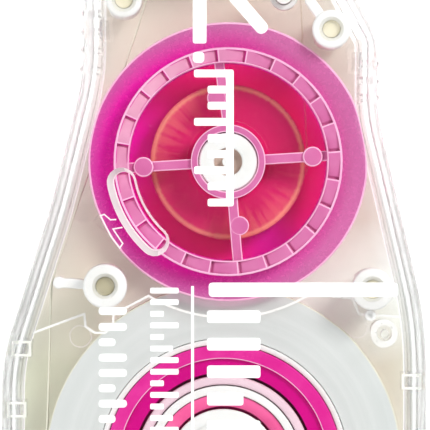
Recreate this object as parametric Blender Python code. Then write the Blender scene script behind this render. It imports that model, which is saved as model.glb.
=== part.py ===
"""Correction tape roller, lying on its rear cover: +Z is the front, +Y the tip, +X the right side.

Lengths below are millimetres; the finished meshes are scaled to metres. The origin is on the axis of
the supply reel, in the plane of the rear face.
"""
import math

import bmesh
import bpy
from mathutils import Vector

MM = 0.001

# Case
CASE_DEPTH = 12.0
WALL = 1.2
SEAM_LOW = 6.2
SEAM_HIGH = 6.35
REAR_EDGE = 1.7
FRONT_EDGE = 2.3
CASE_OUTLINE = [
    (17.92, -18.7, 18.7),
    (17.92, 12.5, 35.0),
    (13.6, 31.0, 14.0),
    (13.6, 37.6, 3.2),
    (7.2, 49.6, 3.4),
    (-6.8, 49.6, 3.4),
    (-12.35, 43.8, 4.5),
    (-12.35, 34.5, 20.0),
    (-15.3, 22.6, 60.0),
    (-19.6, 9.1, 18.0),
    (-19.58, -18.7, 18.7),
]
NECK_X = (-6.3, 6.8)
NECK_Z = (1.6, 10.4)
NECK_END = 58.0

# Levels through the depth
GEAR_Z = (1.5, 3.1)
TAPE_Z = (4.3, 6.8)
PLATE_Z = (7.1, 7.6)
FLANGE_Z = (7.9, 8.6)
POST_TOP = 10.4

# Reels and gears
SUPPLY = (0.0, 0.0)
TAKEUP = (0.4, 26.7)
SUPPLY_TEETH = 48
IDLER_TEETH = 19
TAKEUP_TEETH = 20
CENTRES = math.dist(SUPPLY, TAKEUP)
MODULE = 2.0 * CENTRES / (SUPPLY_TEETH + 2 * IDLER_TEETH + TAKEUP_TEETH)
LINE_OF_CENTRES = math.atan2(TAKEUP[1] - SUPPLY[1], TAKEUP[0] - SUPPLY[0])
IDLER_REACH = MODULE * (SUPPLY_TEETH + IDLER_TEETH) / 2.0
IDLER = (IDLER_REACH * math.cos(LINE_OF_CENTRES), IDLER_REACH * math.sin(LINE_OF_CENTRES))
ADDENDUM = 0.9
DEDENDUM = 1.2
TAPE_ROLL_R = 15.8
TAKEUP_ROLL_R = 6.9
TAKEUP_FLANGE_R = 12.36
LOWER_FLANGE_R = 11.0
RATCHET_R = (8.75, 10.1)
RATCHET_TEETH = 24
SLOT_R = 9.33
SLOT_WIDTH = 1.76
SLOT_ANGLES = (191.0, 227.4)

# Bosses on the chassis plate: x, y, outer radius, bore radius
BOSSES = [
    (-8.76, 41.0, 1.6, 0.8),
    (9.5, 38.4, 1.7, 0.8),
    (-10.43, 15.7, 1.95, 0.85),
    (13.13, 15.44, 1.85, 0.85),
]
SMALL_BOSS = (14.2, 11.45, 1.28, 0.67)
# Snap tongues of the front cover: y and side, left is -1
SNAPS = [(10.2, -1), (4.84, -1), (7.3, 1), (38.4, -1), (35.6, 1)]
SNAP_HALF = 0.8
GUIDE_POST = (5.3, 41.4)

# Tape path and head
WEB = 0.12
TIP = (0.3, 64.2)
TIP_ROLLER_R = 1.4
GUIDE_ROLLER_R = 1.25

# Cap
CAP_X = 0.25
CAP_START = 51.8
CAP_WALL = 1.0

COLOURS = {
    "clear": ((0.86, 0.85, 0.80, 1.0), 0.12, 0.0),
    "milky": ((0.92, 0.92, 0.90, 1.0), 0.30, 0.0),
    "white": ((0.93, 0.93, 0.91, 1.0), 0.35, 0.0),
    "magenta": ((0.78, 0.03, 0.33, 1.0), 0.20, 0.0),
    "tape": ((0.82, 0.84, 0.85, 1.0), 0.60, 0.0),
    "liner": ((0.90, 0.62, 0.40, 1.0), 0.35, 0.0),
    "rubber": ((0.80, 0.80, 0.79, 1.0), 0.70, 0.0),
    "steel": ((0.70, 0.70, 0.72, 1.0), 0.25, 1.0),
}


def material(node, kind):
    """A Principled material that belongs to one node."""
    colour, roughness, metallic = COLOURS[kind]
    made = bpy.data.materials.new(node + "_" + kind)
    made.use_nodes = True
    shader = made.node_tree.nodes["Principled BSDF"]
    shader.inputs["Base Color"].default_value = colour
    shader.inputs["Roughness"].default_value = roughness
    shader.inputs["Metallic"].default_value = metallic
    made.diffuse_color = colour
    return made


def add_object(name, bm):
    """Turn a bmesh into a linked object, faces turned outward."""
    bmesh.ops.recalc_face_normals(bm, faces=bm.faces)
    mesh = bpy.data.meshes.new(name)
    bm.to_mesh(mesh)
    bm.free()
    made = bpy.data.objects.new(name, mesh)
    bpy.context.collection.objects.link(made)
    return made


def skin(rings, name, closed_tube=False):
    """Faces between successive rings of points; the ends are capped unless the tube closes on itself."""
    bm = bmesh.new()
    rows = [[bm.verts.new(point) for point in ring] for ring in rings]
    count = len(rows[0])
    pairs = list(zip(rows, rows[1:]))
    if closed_tube:
        pairs.append((rows[-1], rows[0]))
    for low, high in pairs:
        for i in range(count):
            j = (i + 1) % count
            bm.faces.new((low[i], low[j], high[j], high[i]))
    if not closed_tube:
        caps = [bm.faces.new(rows[0]), bm.faces.new(rows[-1])]
        bmesh.ops.triangulate(bm, faces=caps)
    return add_object(name, bm)


def boolean(body, tool, operation):
    """Apply an exact boolean and remove the tool."""
    modifier = body.modifiers.new("boolean", "BOOLEAN")
    modifier.operation = operation
    modifier.solver = "EXACT"
    modifier.object = tool
    tool.hide_render = True
    tool.display_type = "WIRE"
    depsgraph = bpy.context.evaluated_depsgraph_get()
    result = bpy.data.meshes.new_from_object(body.evaluated_get(depsgraph))
    body.modifiers.clear()
    old = body.data
    body.data = result
    bpy.data.meshes.remove(old)
    bpy.data.objects.remove(tool)
    return body


def join(body, *tools):
    for tool in tools:
        boolean(body, tool, "UNION")
    return body


def cut(body, *tools):
    for tool in tools:
        boolean(body, tool, "DIFFERENCE")
    return body


def finish(body, name, kind, smooth=False):
    """Name the piece, weld and clean it, scale it to metres and give it its material."""
    bm = bmesh.new()
    bm.from_mesh(body.data)
    bmesh.ops.remove_doubles(bm, verts=bm.verts, dist=0.001)
    bmesh.ops.dissolve_degenerate(bm, edges=bm.edges, dist=0.001)
    bmesh.ops.triangulate(bm, faces=[face for face in bm.faces if len(face.verts) > 4])
    bmesh.ops.scale(bm, verts=bm.verts, vec=(MM, MM, MM))
    bmesh.ops.recalc_face_normals(bm, faces=bm.faces)
    bm.to_mesh(body.data)
    bm.free()
    body.name = name
    body.data.name = name
    body.data.materials.clear()
    body.data.materials.append(material(name, kind))
    if smooth:
        body.data.shade_smooth()
    return body


def place_origin(body, centre, z=0.0):
    """Move the object's origin to its joint axis without moving the piece."""
    shift = Vector((centre[0] * MM, centre[1] * MM, z * MM))
    for vertex in body.data.vertices:
        vertex.co -= shift
    body.location = shift
    return body


def circle(centre, radius, count, start=0.0):
    turn = 2.0 * math.pi / count
    return [(centre[0] + radius * math.cos(start + i * turn),
             centre[1] + radius * math.sin(start + i * turn)) for i in range(count)]


def prism(points, z0, z1, name="prism"):
    return skin([[(x, y, z) for x, y in points] for z in (z0, z1)], name)


def box(x0, x1, y0, y1, z0, z1, name="box"):
    return prism([(x0, y0), (x1, y0), (x1, y1), (x0, y1)], z0, z1, name)


def rod(centre, radius, z0, z1, count=24, name="rod"):
    return prism(circle(centre, radius, count), z0, z1, name)


def lathe(centre, profile, count, name):
    """Revolve a closed (radius, z) profile that stays clear of the axis."""
    rings = []
    for i in range(count):
        angle = 2.0 * math.pi * i / count
        rings.append([(centre[0] + r * math.cos(angle), centre[1] + r * math.sin(angle), z)
                      for r, z in profile])
    return skin(rings, name, closed_tube=True)


def ring(centre, r0, r1, z0, z1, count=48, name="ring"):
    return lathe(centre, [(r0, z0), (r1, z0), (r1, z1), (r0, z1)], count, name)


def rounded_outline(corners, step=7.5):
    """Closed outline through corners (x, y, fillet radius), with the fillets as short chords."""
    points = []
    count = len(corners)
    for i in range(count):
        corner = Vector(corners[i][:2])
        before = (Vector(corners[i - 1][:2]) - corner).normalized()
        after = (Vector(corners[(i + 1) % count][:2]) - corner).normalized()
        half = before.angle(after) / 2.0
        radius = corners[i][2]
        centre = corner + (before + after).normalized() * (radius / math.sin(half))
        start = corner + before * (radius / math.tan(half)) - centre
        end = corner + after * (radius / math.tan(half)) - centre
        sweep = math.atan2(start.x * end.y - start.y * end.x, start.dot(end))
        pieces = max(2, math.ceil(abs(math.degrees(sweep)) / step))
        for k in range(pieces + 1):
            angle = sweep * k / pieces
            cosine, sine = math.cos(angle), math.sin(angle)
            points.append((centre.x + start.x * cosine - start.y * sine,
                           centre.y + start.x * sine + start.y * cosine))
    kept = []
    for point in points:
        if not kept or math.dist(point, kept[-1]) > 0.05:
            kept.append(point)
    if math.dist(kept[0], kept[-1]) < 0.05:
        kept.pop()
    return kept


def inset(points, distance):
    """Move a counter-clockwise outline inward by the same distance everywhere."""
    moved = []
    count = len(points)
    for i in range(count):
        here = Vector(points[i])
        back = (here - Vector(points[i - 1])).normalized()
        ahead = (Vector(points[(i + 1) % count]) - here).normalized()
        n0 = Vector((-back.y, back.x))
        n1 = Vector((-ahead.y, ahead.x))
        mitre = (n0 + n1).normalized()
        moved.append(tuple(here + mitre * (distance / mitre.dot(n0))))
    return moved


def rounded_slab(outline, z0, z1, low_round, high_round, name):
    """A prism of an outline whose bottom and top edges are rounded."""
    rings = []
    steps = 4
    for k in range(steps + 1):
        angle = math.pi / 2.0 * k / steps
        rings.append((low_round * (1.0 - math.sin(angle)), z0 + low_round * (1.0 - math.cos(angle))))
    for k in range(steps + 1):
        angle = math.pi / 2.0 * k / steps
        rings.append((high_round * (1.0 - math.cos(angle)), z1 - high_round * (1.0 - math.sin(angle))))
    return skin([[(x, y, z) for x, y in inset(outline, d)] for d, z in rings], name)


def rounded_rectangle(x0, x1, z0, z1, radius, y, steps=4):
    """Section across the Y axis, with equal corner radii."""
    corners = [(x0, z0, radius), (x1, z0, radius), (x1, z1, radius), (x0, z1, radius)]
    return [(x, y, z) for x, z in rounded_outline(corners, 90.0 / steps)]


def ribbon(path, z0, z1, name):
    """A strip of tape standing on edge along a path in plan."""
    left, right = [], []
    for i, point in enumerate(path):
        here = Vector(point)
        back = here - Vector(path[i - 1]) if i else Vector(path[1]) - here
        ahead = Vector(path[i + 1]) - here if i + 1 < len(path) else back
        n0 = Vector((-back.y, back.x)).normalized()
        n1 = Vector((-ahead.y, ahead.x)).normalized()
        mitre = (n0 + n1).normalized()
        offset = mitre * (WEB / 2.0 / mitre.dot(n0))
        left.append(tuple(here + offset))
        right.append(tuple(here - offset))
    rings = [[(a[0], a[1], z0), (b[0], b[1], z0), (b[0], b[1], z1), (a[0], a[1], z1)]
             for a, b in zip(left, right)]
    return skin(rings, name)


def arc(centre, radius, start, end, pieces):
    """Points of an arc between two angles in degrees."""
    points = []
    for k in range(pieces + 1):
        angle = math.radians(start + (end - start) * k / pieces)
        points.append((centre[0] + radius * math.cos(angle), centre[1] + radius * math.sin(angle)))
    return points


def gear(centre, teeth, tooth_at, bore, z0, z1, name):
    """A spur gear ring with a tooth centred on the angle tooth_at (radians)."""
    pitch_r = MODULE * teeth / 2.0
    tip_r = pitch_r + ADDENDUM * MODULE
    root_r = pitch_r - DEDENDUM * MODULE
    half_pitch = 0.36 / pitch_r
    half_tip = half_pitch - ADDENDUM * MODULE * 0.364 / tip_r
    half_root = half_pitch + DEDENDUM * MODULE * 0.364 / root_r
    turn = 2.0 * math.pi / teeth
    rows = []
    for tooth in range(teeth):
        middle = tooth_at + tooth * turn
        for radius, angle in ((root_r, middle - half_root), (tip_r, middle - half_tip),
                              (tip_r, middle + half_tip), (root_r, middle + half_root)):
            cosine, sine = math.cos(angle), math.sin(angle)
            rows.append([(centre[0] + r * cosine, centre[1] + r * sine, z)
                         for r, z in ((bore, z0), (radius, z0), (radius, z1), (bore, z1))])
    return skin(rows, name, closed_tube=True)


def ratchet_ring(centre, z0, name):
    """A raised ring whose top is a run of sawtooth ramps, low ends clockwise."""
    rows = []
    turn = 2.0 * math.pi / RATCHET_TEETH
    for tooth in range(RATCHET_TEETH):
        start = math.radians(5.5) + tooth * turn
        for share, top in ((0.0, 9.7), (0.04, POST_TOP), (0.35, 10.25), (0.68, 10.05)):
            angle = start + (1.0 - share) * turn
            rows.append((angle, top))
    rows.sort()
    rings = []
    for angle, top in rows:
        cosine, sine = math.cos(angle), math.sin(angle)
        rings.append([(centre[0] + r * cosine, centre[1] + r * sine, z)
                      for r, z in ((RATCHET_R[0], z0), (RATCHET_R[1], z0),
                                   (RATCHET_R[1], top), (RATCHET_R[0], top))])
    return skin(rings, name, closed_tube=True)


def bar(start, end, width, z0, z1, name="bar"):
    """A straight bar between two plan points."""
    a, b = Vector(start), Vector(end)
    side = (b - a).normalized() * (width / 2.0)
    side = Vector((-side.y, side.x))
    return prism([tuple(a + side), tuple(a - side), tuple(b - side), tuple(b + side)], z0, z1, name)


def polar(centre, radius, degrees):
    angle = math.radians(degrees)
    return (centre[0] + radius * math.cos(angle), centre[1] + radius * math.sin(angle))


def build_case():
    """Both covers come from one hollow case, split on the seam."""
    outline = rounded_outline(CASE_OUTLINE)
    outer = rounded_slab(outline, 0.0, CASE_DEPTH, REAR_EDGE, FRONT_EDGE, "case")
    x0, x1 = NECK_X
    z0, z1 = NECK_Z
    neck = skin([rounded_rectangle(x0, x1, z0, z1, 2.6, 45.0),
                 rounded_rectangle(x0, x1, z0, z1, 2.6, NECK_END)], "neck")
    inner = rounded_slab(inset(outline, WALL), WALL, CASE_DEPTH - WALL,
                         REAR_EDGE - WALL, FRONT_EDGE - WALL, "room")
    w = 1.0
    throat = skin([rounded_rectangle(x0 + w, x1 - w, z0 + w, z1 - w, 1.6, 44.0),
                   rounded_rectangle(x0 + w, x1 - w, z0 + w, z1 - w, 1.6, NECK_END + 2.0)], "throat")
    join(outer, neck)
    cut(outer, inner, throat)
    other = bpy.data.objects.new("front", outer.data.copy())
    bpy.context.collection.objects.link(other)
    cut(outer, box(-30, 30, -30, 70, SEAM_LOW, 20))
    cut(other, box(-30, 30, -30, 70, -5, SEAM_HIGH))
    return outer, other


def side_x(y, side):
    """Outer wall position at a height along the case, for the left (-1) or right (+1) side."""
    outline = rounded_outline(CASE_OUTLINE)
    found = []
    for i, (ax, ay) in enumerate(outline):
        bx, by = outline[(i + 1) % len(outline)]
        if min(ay, by) <= y <= max(ay, by) and ay != by:
            found.append(ax + (bx - ax) * (y - ay) / (by - ay))
    return max(found) if side > 0 else min(found)


def grip_ribs(z0, z1):
    """Short upright ribs on both flanks of the case, where the fingers hold it."""
    spots = [(y, -1) for y in (34.9, 36.6, 38.2, 39.8)] + [(y, 1) for y in (32.4, 33.9, 35.4)]
    return [rod((side_x(y, side), y), 0.38, z0, z1, 10) for y, side in spots]


def build_rear_cover(body):
    x, y, outer_r, bore_r = SMALL_BOSS
    join(body, ring((x, y), bore_r, outer_r, WALL - 0.4, 5.8, 20))
    join(body, *grip_ribs(2.6, SEAM_LOW))
    for centre in (SUPPLY, TAKEUP, IDLER):
        join(body, ring(centre, 2.55, 3.0, WALL - 0.4, 1.35, 24))
    return finish(body, "rear_cover", "clear")


def build_front_cover(body):
    start, end = SLOT_ANGLES
    half = SLOT_WIDTH / 2.0
    cap_angle = math.degrees(half / SLOT_R)
    outer_arc = arc(TAKEUP, SLOT_R + half, start, end, 8)
    inner_arc = arc(TAKEUP, SLOT_R - half, end, start, 8)
    far_cap = [polar(TAKEUP, SLOT_R + half * 0.7, end + cap_angle * 0.7),
               polar(TAKEUP, SLOT_R, end + cap_angle),
               polar(TAKEUP, SLOT_R - half * 0.7, end + cap_angle * 0.7)]
    near_cap = [polar(TAKEUP, SLOT_R - half * 0.7, start - cap_angle * 0.7),
                polar(TAKEUP, SLOT_R, start - cap_angle),
                polar(TAKEUP, SLOT_R + half * 0.7, start - cap_angle * 0.7)]
    cut(body, prism(outer_arc + far_cap + inner_arc + near_cap, 9.0, 14.0))
    join(body, *grip_ribs(SEAM_HIGH, 9.6))
    for x, y, outer_r, bore_r in BOSSES:
        join(body, rod((x, y), bore_r - 0.3, 8.6, CASE_DEPTH - WALL + 0.4, 14))
    x, y, outer_r, bore_r = SMALL_BOSS
    join(body, rod((x, y), bore_r - 0.3, 5.0, CASE_DEPTH - WALL + 0.4, 12))
    for y, side in SNAPS:
        wall_x = side_x(y, side)
        tongue = [wall_x - side * 1.5, wall_x - side * 2.2]
        root = [wall_x - side * 0.9, wall_x - side * 2.2]
        join(body, box(min(tongue), max(tongue), y - SNAP_HALF, y + SNAP_HALF, 4.7, 9.0))
        join(body, box(min(root), max(root), y - SNAP_HALF, y + SNAP_HALF, 7.2, 9.0))
    return finish(body, "front_cover", "clear")


def build_chassis_plate():
    """Milky plate between the tape and the take-up flange, with the case bosses and the tape guides."""
    room = inset(rounded_outline(CASE_OUTLINE), WALL + 0.35)
    body = prism(room, *PLATE_Z, "chassis")
    edge = [(-25.0, 11.5), (-17.0, 11.5), (-12.3, 13.2), (-12.2, 12.1), (-11.4, 11.55), (-10.5, 11.55),
            (-9.8, 12.1), (-9.7, 13.2), (-6.7, 14.74)]
    edge += arc(TAKEUP, 13.8, 239.5, 306.0, 14)
    edge += [(9.7, 14.75), (11.4, 14.6), (12.0, 13.2), (15.8, 12.95), (25.0, 12.8),
             (25.0, -30.0), (-25.0, -30.0)]
    low, high = PLATE_Z[0] - 1.0, PLATE_Z[1] + 1.0
    cut(body, prism(edge, low, high))
    cut(body, box(-30, 30, 45.0, 60.0, low, high))
    cut(body, rod(TAKEUP, 3.7, low, high, 32))
    for y, side in SNAPS[3:]:
        wall_x = side_x(y, side)
        notch = [wall_x, wall_x - side * 2.6]
        cut(body, box(min(notch), max(notch), y - SNAP_HALF - 0.3, y + SNAP_HALF + 0.3, low, high))
    for x, y, outer_r, bore_r in BOSSES:
        join(body, rod((x, y), outer_r, GEAR_Z[0], POST_TOP, 24))
        cut(body, rod((x, y), bore_r, GEAR_Z[0] + 1.0, POST_TOP + 1.0, 16))
    guide_x, guide_y = -14.55, 16.0
    join(body, bar((-11.9, 15.8), (guide_x, guide_y), 0.85, TAPE_Z[0] - 0.2, PLATE_Z[1] + 0.6))
    join(body, rod((guide_x, guide_y), 0.55, TAPE_Z[0] - 0.2, PLATE_Z[1] + 0.6, 16))
    join(body, bar((8.6, 39.5), (7.4, 41.2), 0.9, PLATE_Z[0], 9.6))
    join(body, rod(GUIDE_POST, 0.5, TAPE_Z[0] - 0.3, PLATE_Z[1] - 0.1, 14))
    return finish(body, "chassis_plate", "milky")


def build_supply():
    axle = ring(SUPPLY, 0.95, 1.75, 1.5, 6.95, 32)
    finish(axle, "supply_axle", "white", True)

    drive = gear(SUPPLY, SUPPLY_TEETH, LINE_OF_CENTRES, 2.05, *GEAR_Z, "drive")
    join(drive, ring(SUPPLY, 2.05, 3.0, 2.3, 6.95, 48), ring(SUPPLY, 5.0, 5.95, 2.3, 6.95, 48))
    place_origin(finish(drive, "supply_gear", "magenta"), SUPPLY)

    place_origin(finish(ring(SUPPLY, 6.15, 6.8, 3.45, 7.2, 64), "clutch_sleeve", "white", True), SUPPLY)
    o_ring = lathe(SUPPLY, [(7.1, 6.1), (7.25, 5.95), (7.55, 5.95), (7.7, 6.1),
                            (7.7, 7.1), (7.55, 7.25), (7.25, 7.25), (7.1, 7.1)], 64, "o_ring")
    place_origin(finish(o_ring, "clutch_o_ring", "rubber", True), SUPPLY)

    hub = lathe(SUPPLY, [(7.2, 3.4), (12.2, 3.4), (12.2, 4.0), (10.45, 4.0), (10.45, 7.3),
                         (9.25, 7.3), (9.25, 6.9), (8.0, 6.9), (8.0, 4.2), (7.2, 4.2)], 64, "hub")
    place_origin(finish(hub, "supply_hub", "magenta"), SUPPLY)
    place_origin(finish(ring(SUPPLY, 10.6, 11.0, 4.3, 6.95, 64), "supply_core", "white", True), SUPPLY)
    roll = ring(SUPPLY, 11.1, TAPE_ROLL_R, *TAPE_Z, 96)
    place_origin(finish(roll, "correction_tape_roll", "tape", True), SUPPLY)

    retainer = rod(SUPPLY, 4.8, 7.25, 8.1, 48)
    join(retainer, rod(SUPPLY, 0.7, 4.5, 7.6, 20))
    cut(retainer, bar((-2.7, 2.6), (-0.9, 3.7), 0.28, 7.7, 9.0))
    finish(retainer, "supply_retainer", "milky")


def build_takeup():
    axle = ring(TAKEUP, 1.23, 2.35, 1.5, 9.8, 32)
    join(axle, rod(TAKEUP, 1.6, 3.0, 7.4, 24))
    finish(axle, "takeup_axle", "white")
    pin = rod(TAKEUP, 0.52, 7.7, 9.6, 20)
    finish(pin, "takeup_axle_pin", "clear", True)

    gap_at = LINE_OF_CENTRES + math.pi
    half_tooth = math.pi / TAKEUP_TEETH
    takeup_gear = gear(TAKEUP, TAKEUP_TEETH, gap_at + half_tooth, 2.65, *GEAR_Z, "takeup_gear")
    join(takeup_gear, ring(TAKEUP, 2.65, 3.35, 2.3, 4.4, 40), ring(TAKEUP, 2.65, LOWER_FLANGE_R, 3.4, 3.9, 96))
    place_origin(finish(takeup_gear, "takeup_gear", "magenta"), TAKEUP)

    window_r = RATCHET_R[0] - 0.1
    reel = lathe(TAKEUP, [(window_r, FLANGE_Z[0]), (TAKEUP_FLANGE_R - 0.15, FLANGE_Z[0]),
                          (TAKEUP_FLANGE_R, FLANGE_Z[0] + 0.15), (TAKEUP_FLANGE_R, FLANGE_Z[1] - 0.15),
                          (TAKEUP_FLANGE_R - 0.15, FLANGE_Z[1]), (window_r, FLANGE_Z[1])], 96, "reel")
    join(reel, ratchet_ring(TAKEUP, FLANGE_Z[1] - 0.3, "ratchet"))
    join(reel, ring(TAKEUP, 2.65, 3.3, 4.6, 9.9, 40))
    z0, z1 = FLANGE_Z[0], 9.5
    for degrees in (3.5, 183.5):
        join(reel, bar(polar(TAKEUP, 3.0, degrees), polar(TAKEUP, 9.0, degrees), 0.9, z0, z1))
        join(reel, rod(polar(TAKEUP, 7.48, degrees), 0.88, z0, z1 + 0.3, 20))
    for start, end, side in (((0.03, 3.0), (-0.8, 8.9), 90.0), ((0.37, -2.95), (0.85, -8.9), -90.0)):
        a = (TAKEUP[0] + start[0], TAKEUP[1] + start[1])
        b = (TAKEUP[0] + end[0], TAKEUP[1] + end[1])
        join(reel, bar(a, b, 0.9, z0, z1))
        pad = (TAKEUP[0] + math.copysign(1.0, -side), TAKEUP[1] + math.copysign(5.65, side))
        join(reel, rod(pad, 0.85, z0, z1 + 0.3, 20))
    place_origin(finish(reel, "takeup_reel", "magenta"), TAKEUP)

    roll = ring(TAKEUP, 3.45, TAKEUP_ROLL_R, *TAPE_Z, 72)
    place_origin(finish(roll, "takeup_liner_roll", "liner", True), TAKEUP)


def build_idler():
    finish(ring(IDLER, 0.7, 1.5, 1.5, 3.15, 24), "idler_axle", "white", True)
    gap_at = LINE_OF_CENTRES + math.pi
    idler = gear(IDLER, IDLER_TEETH, gap_at + math.pi / IDLER_TEETH, 1.8, *GEAR_Z, "idler")
    place_origin(finish(idler, "idler_gear", "magenta"), IDLER)


def build_backstop():
    """A sprung leaf whose tip rides on the idler teeth and stops the reels running backward."""
    anchor, tip = (-12.4, 22.4), (-5.45, 16.7)
    leaf = bar(anchor, (-7.0, 17.6), 0.5, 1.7, 2.9)
    join(leaf, bar((-7.25, 17.75), tip, 0.5, 1.7, 2.9), rod(anchor, 1.1, 1.6, 3.0, 20))
    place_origin(finish(leaf, "backstop_pawl", "clear"), anchor)


def build_guides():
    roller = ring(GUIDE_POST, 0.8, GUIDE_ROLLER_R, *TAPE_Z, 28)
    place_origin(finish(roller, "guide_roller", "white", True), GUIDE_POST)
    roller = ring(TIP, 0.75, TIP_ROLLER_R, *TAPE_Z, 32)
    place_origin(finish(roller, "tip_roller", "rubber", True), TIP)
    finish(rod(TIP, 0.45, 3.1, 8.0, 16), "tip_roller_pin", "steel", True)


def build_head_frame():
    """Two cheeks with a spine between the outgoing and returning tape, forked at the tip roller."""
    cheek = rounded_outline([(4.7, 45.8, 1.0), (4.7, 57.5, 2.0), (TIP[0] + 1.5, TIP[1] + 0.2, 1.2),
                             (TIP[0], TIP[1] + 1.5, 0.8), (TIP[0] - 1.5, TIP[1] + 0.2, 1.2),
                             (-4.2, 57.5, 2.0), (-4.2, 45.8, 1.0)], 22.5)
    body = prism(cheek, 2.9, 4.0)
    join(body, prism(cheek, 7.1, 8.3))
    spine = rounded_outline([(2.5, 46.6, 0.5), (2.5, 52.5, 1.0), (TIP[0] + 0.9, 61.8, 0.5),
                             (TIP[0] - 0.9, 61.8, 0.5), (-2.7, 52.5, 1.0), (-2.7, 46.6, 0.5)], 30.0)
    join(body, prism(spine, 3.5, 7.6))
    cut(body, rod(TIP, 0.75, 2.0, 9.0, 16))
    return finish(body, "head_frame", "milky")


def build_tape():
    """Coated tape out to the tip and bare liner back to the take-up reel."""
    start = arc(SUPPLY, TAPE_ROLL_R + 0.16, 186.0, 169.0, 4)
    over_tip = arc(TIP, TIP_ROLLER_R + 0.12, 172.0, 93.0, 7)
    guide = arc((-14.55, 16.0), 0.72, 178.0, 161.3, 3)
    coated = start + guide + [(-3.45, 50.9)] + over_tip
    finish(ribbon(coated, *TAPE_Z, "coated"), "coated_tape", "tape")
    past_tip = arc(TIP, TIP_ROLLER_R + 0.12, 87.0, 8.0, 7)
    pin = arc(GUIDE_POST, GUIDE_ROLLER_R + 0.2, 18.0, 2.0, 3)
    wound = arc(TAKEUP, TAKEUP_ROLL_R + 0.16, 2.0, -8.0, 3)
    finish(ribbon(past_tip + [(3.25, 51.0)] + pin + wound, *TAPE_Z, "bare"), "return_liner", "liner")


def build_cap():
    """A thin cap that pushes over the neck; its outside narrows toward the tip."""
    sections = [(8.2, 5.75, 2.9, CAP_START), (8.0, 5.6, 2.9, 57.0), (6.9, 5.1, 2.8, 64.0),
                (5.7, 4.4, 2.6, 67.6), (4.3, 3.4, 2.2, 69.3)]
    inside = [(CAP_WALL, y - (1.0 if y > 60.0 else 0.0)) for half_x, half_z, radius, y in sections]
    rings = []
    middle = (NECK_Z[0] + NECK_Z[1]) / 2.0
    for (half_x, half_z, radius, y), (wall, inner_y) in reversed(list(zip(sections, inside))):
        rings.append(rounded_rectangle(CAP_X - half_x + wall, CAP_X + half_x - wall, middle - half_z + wall,
                                       middle + half_z - wall, radius - wall * 0.8, inner_y))
    for half_x, half_z, radius, y in sections:
        rings.append(rounded_rectangle(CAP_X - half_x, CAP_X + half_x, middle - half_z,
                                       middle + half_z, radius, y))
    return finish(skin(rings, "cap"), "cap", "clear")


for old in list(bpy.data.objects):
    bpy.data.objects.remove(old)
rear_half, front_half = build_case()
build_rear_cover(rear_half)
build_front_cover(front_half)
build_chassis_plate()
build_supply()
build_takeup()
build_idler()
build_backstop()
build_guides()
build_head_frame()
build_tape()
build_cap()
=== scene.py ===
"""Looks of the clear correction tape roller: shells, reels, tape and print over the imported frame.

Modelling is in millimetres in the frame's axes (+Z front, +Y tip) and scaled to metres on output.
"""
import math

import bmesh
import bpy
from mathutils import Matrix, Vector


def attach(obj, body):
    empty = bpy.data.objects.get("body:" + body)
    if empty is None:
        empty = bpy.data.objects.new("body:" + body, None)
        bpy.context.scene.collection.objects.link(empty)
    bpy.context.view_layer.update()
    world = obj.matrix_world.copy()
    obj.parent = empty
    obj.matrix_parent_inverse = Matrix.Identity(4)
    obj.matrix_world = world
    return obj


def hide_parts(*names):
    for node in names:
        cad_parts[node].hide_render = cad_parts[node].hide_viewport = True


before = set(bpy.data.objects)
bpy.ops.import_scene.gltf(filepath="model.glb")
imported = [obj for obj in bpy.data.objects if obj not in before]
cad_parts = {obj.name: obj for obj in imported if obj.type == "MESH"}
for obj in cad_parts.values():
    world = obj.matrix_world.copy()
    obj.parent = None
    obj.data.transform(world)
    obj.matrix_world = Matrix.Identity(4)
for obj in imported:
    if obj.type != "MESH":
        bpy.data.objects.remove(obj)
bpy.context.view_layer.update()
MM = 0.001

# ---- dimensions, as in the CAD
CASE_DEPTH = 12.0
WALL = 1.2
SEAM = (6.2, 6.35)
REAR_EDGE = 1.7
FRONT_EDGE = 2.3
CASE_OUTLINE = [
    (17.92, -18.7, 18.7), (17.92, 12.5, 35.0), (13.6, 31.0, 14.0), (13.6, 37.6, 3.2),
    (7.2, 49.6, 3.4), (-6.8, 49.6, 3.4), (-12.35, 43.8, 4.5), (-12.35, 34.5, 20.0),
    (-15.3, 22.6, 60.0), (-19.6, 9.1, 18.0), (-19.58, -18.7, 18.7),
]
NECK_X = (-6.3, 6.8)
NECK_Z = (1.6, 10.4)
NECK_END = 58.0
GEAR_Z = (1.5, 3.1)
TAPE_Z = (4.3, 6.8)
PLATE_Z = (7.1, 7.6)
FLANGE_Z = (7.9, 8.6)
POST_TOP = 10.4
SUPPLY = (0.0, 0.0)
TAKEUP = (0.4, 26.7)
TEETH = {"supply": 48, "idler": 19, "takeup": 20}
CENTRES = math.dist(SUPPLY, TAKEUP)
MODULE = 2.0 * CENTRES / (TEETH["supply"] + 2 * TEETH["idler"] + TEETH["takeup"])
LINE = math.atan2(TAKEUP[1], TAKEUP[0])
REACH = MODULE * (TEETH["supply"] + TEETH["idler"]) / 2.0
IDLER = (REACH * math.cos(LINE), REACH * math.sin(LINE))
TAPE_ROLL_R = 15.8
TAKEUP_ROLL_R = 6.9
FLANGE_R = 12.36
LOWER_FLANGE_R = 11.0
RATCHET_R = (8.75, 10.1)
RATCHET_TEETH = 24
SLOT_R = 9.33
SLOT_HALF = 0.88
SLOT_ANGLES = (191.0, 227.4)
BOSSES = [(-8.76, 41.0, 1.6, 0.8), (9.5, 38.4, 1.7, 0.8), (-10.43, 15.7, 1.95, 0.85),
          (13.13, 15.44, 1.85, 0.85)]
SMALL_BOSS = (14.2, 11.45, 1.28, 0.67)
SNAPS = [(10.2, -1), (4.84, -1), (7.3, 1), (38.4, -1), (35.6, 1)]
SNAP_HALF = 0.8
GUIDE_POST = (5.3, 41.4)
GUIDE_ROLLER_R = 1.25
TIP = (0.3, 64.2)
TIP_ROLLER_R = 1.4
CAP_X = 0.25
CAP_START = 51.8
TAPE_GUIDE = (-14.55, 16.0)
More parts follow.
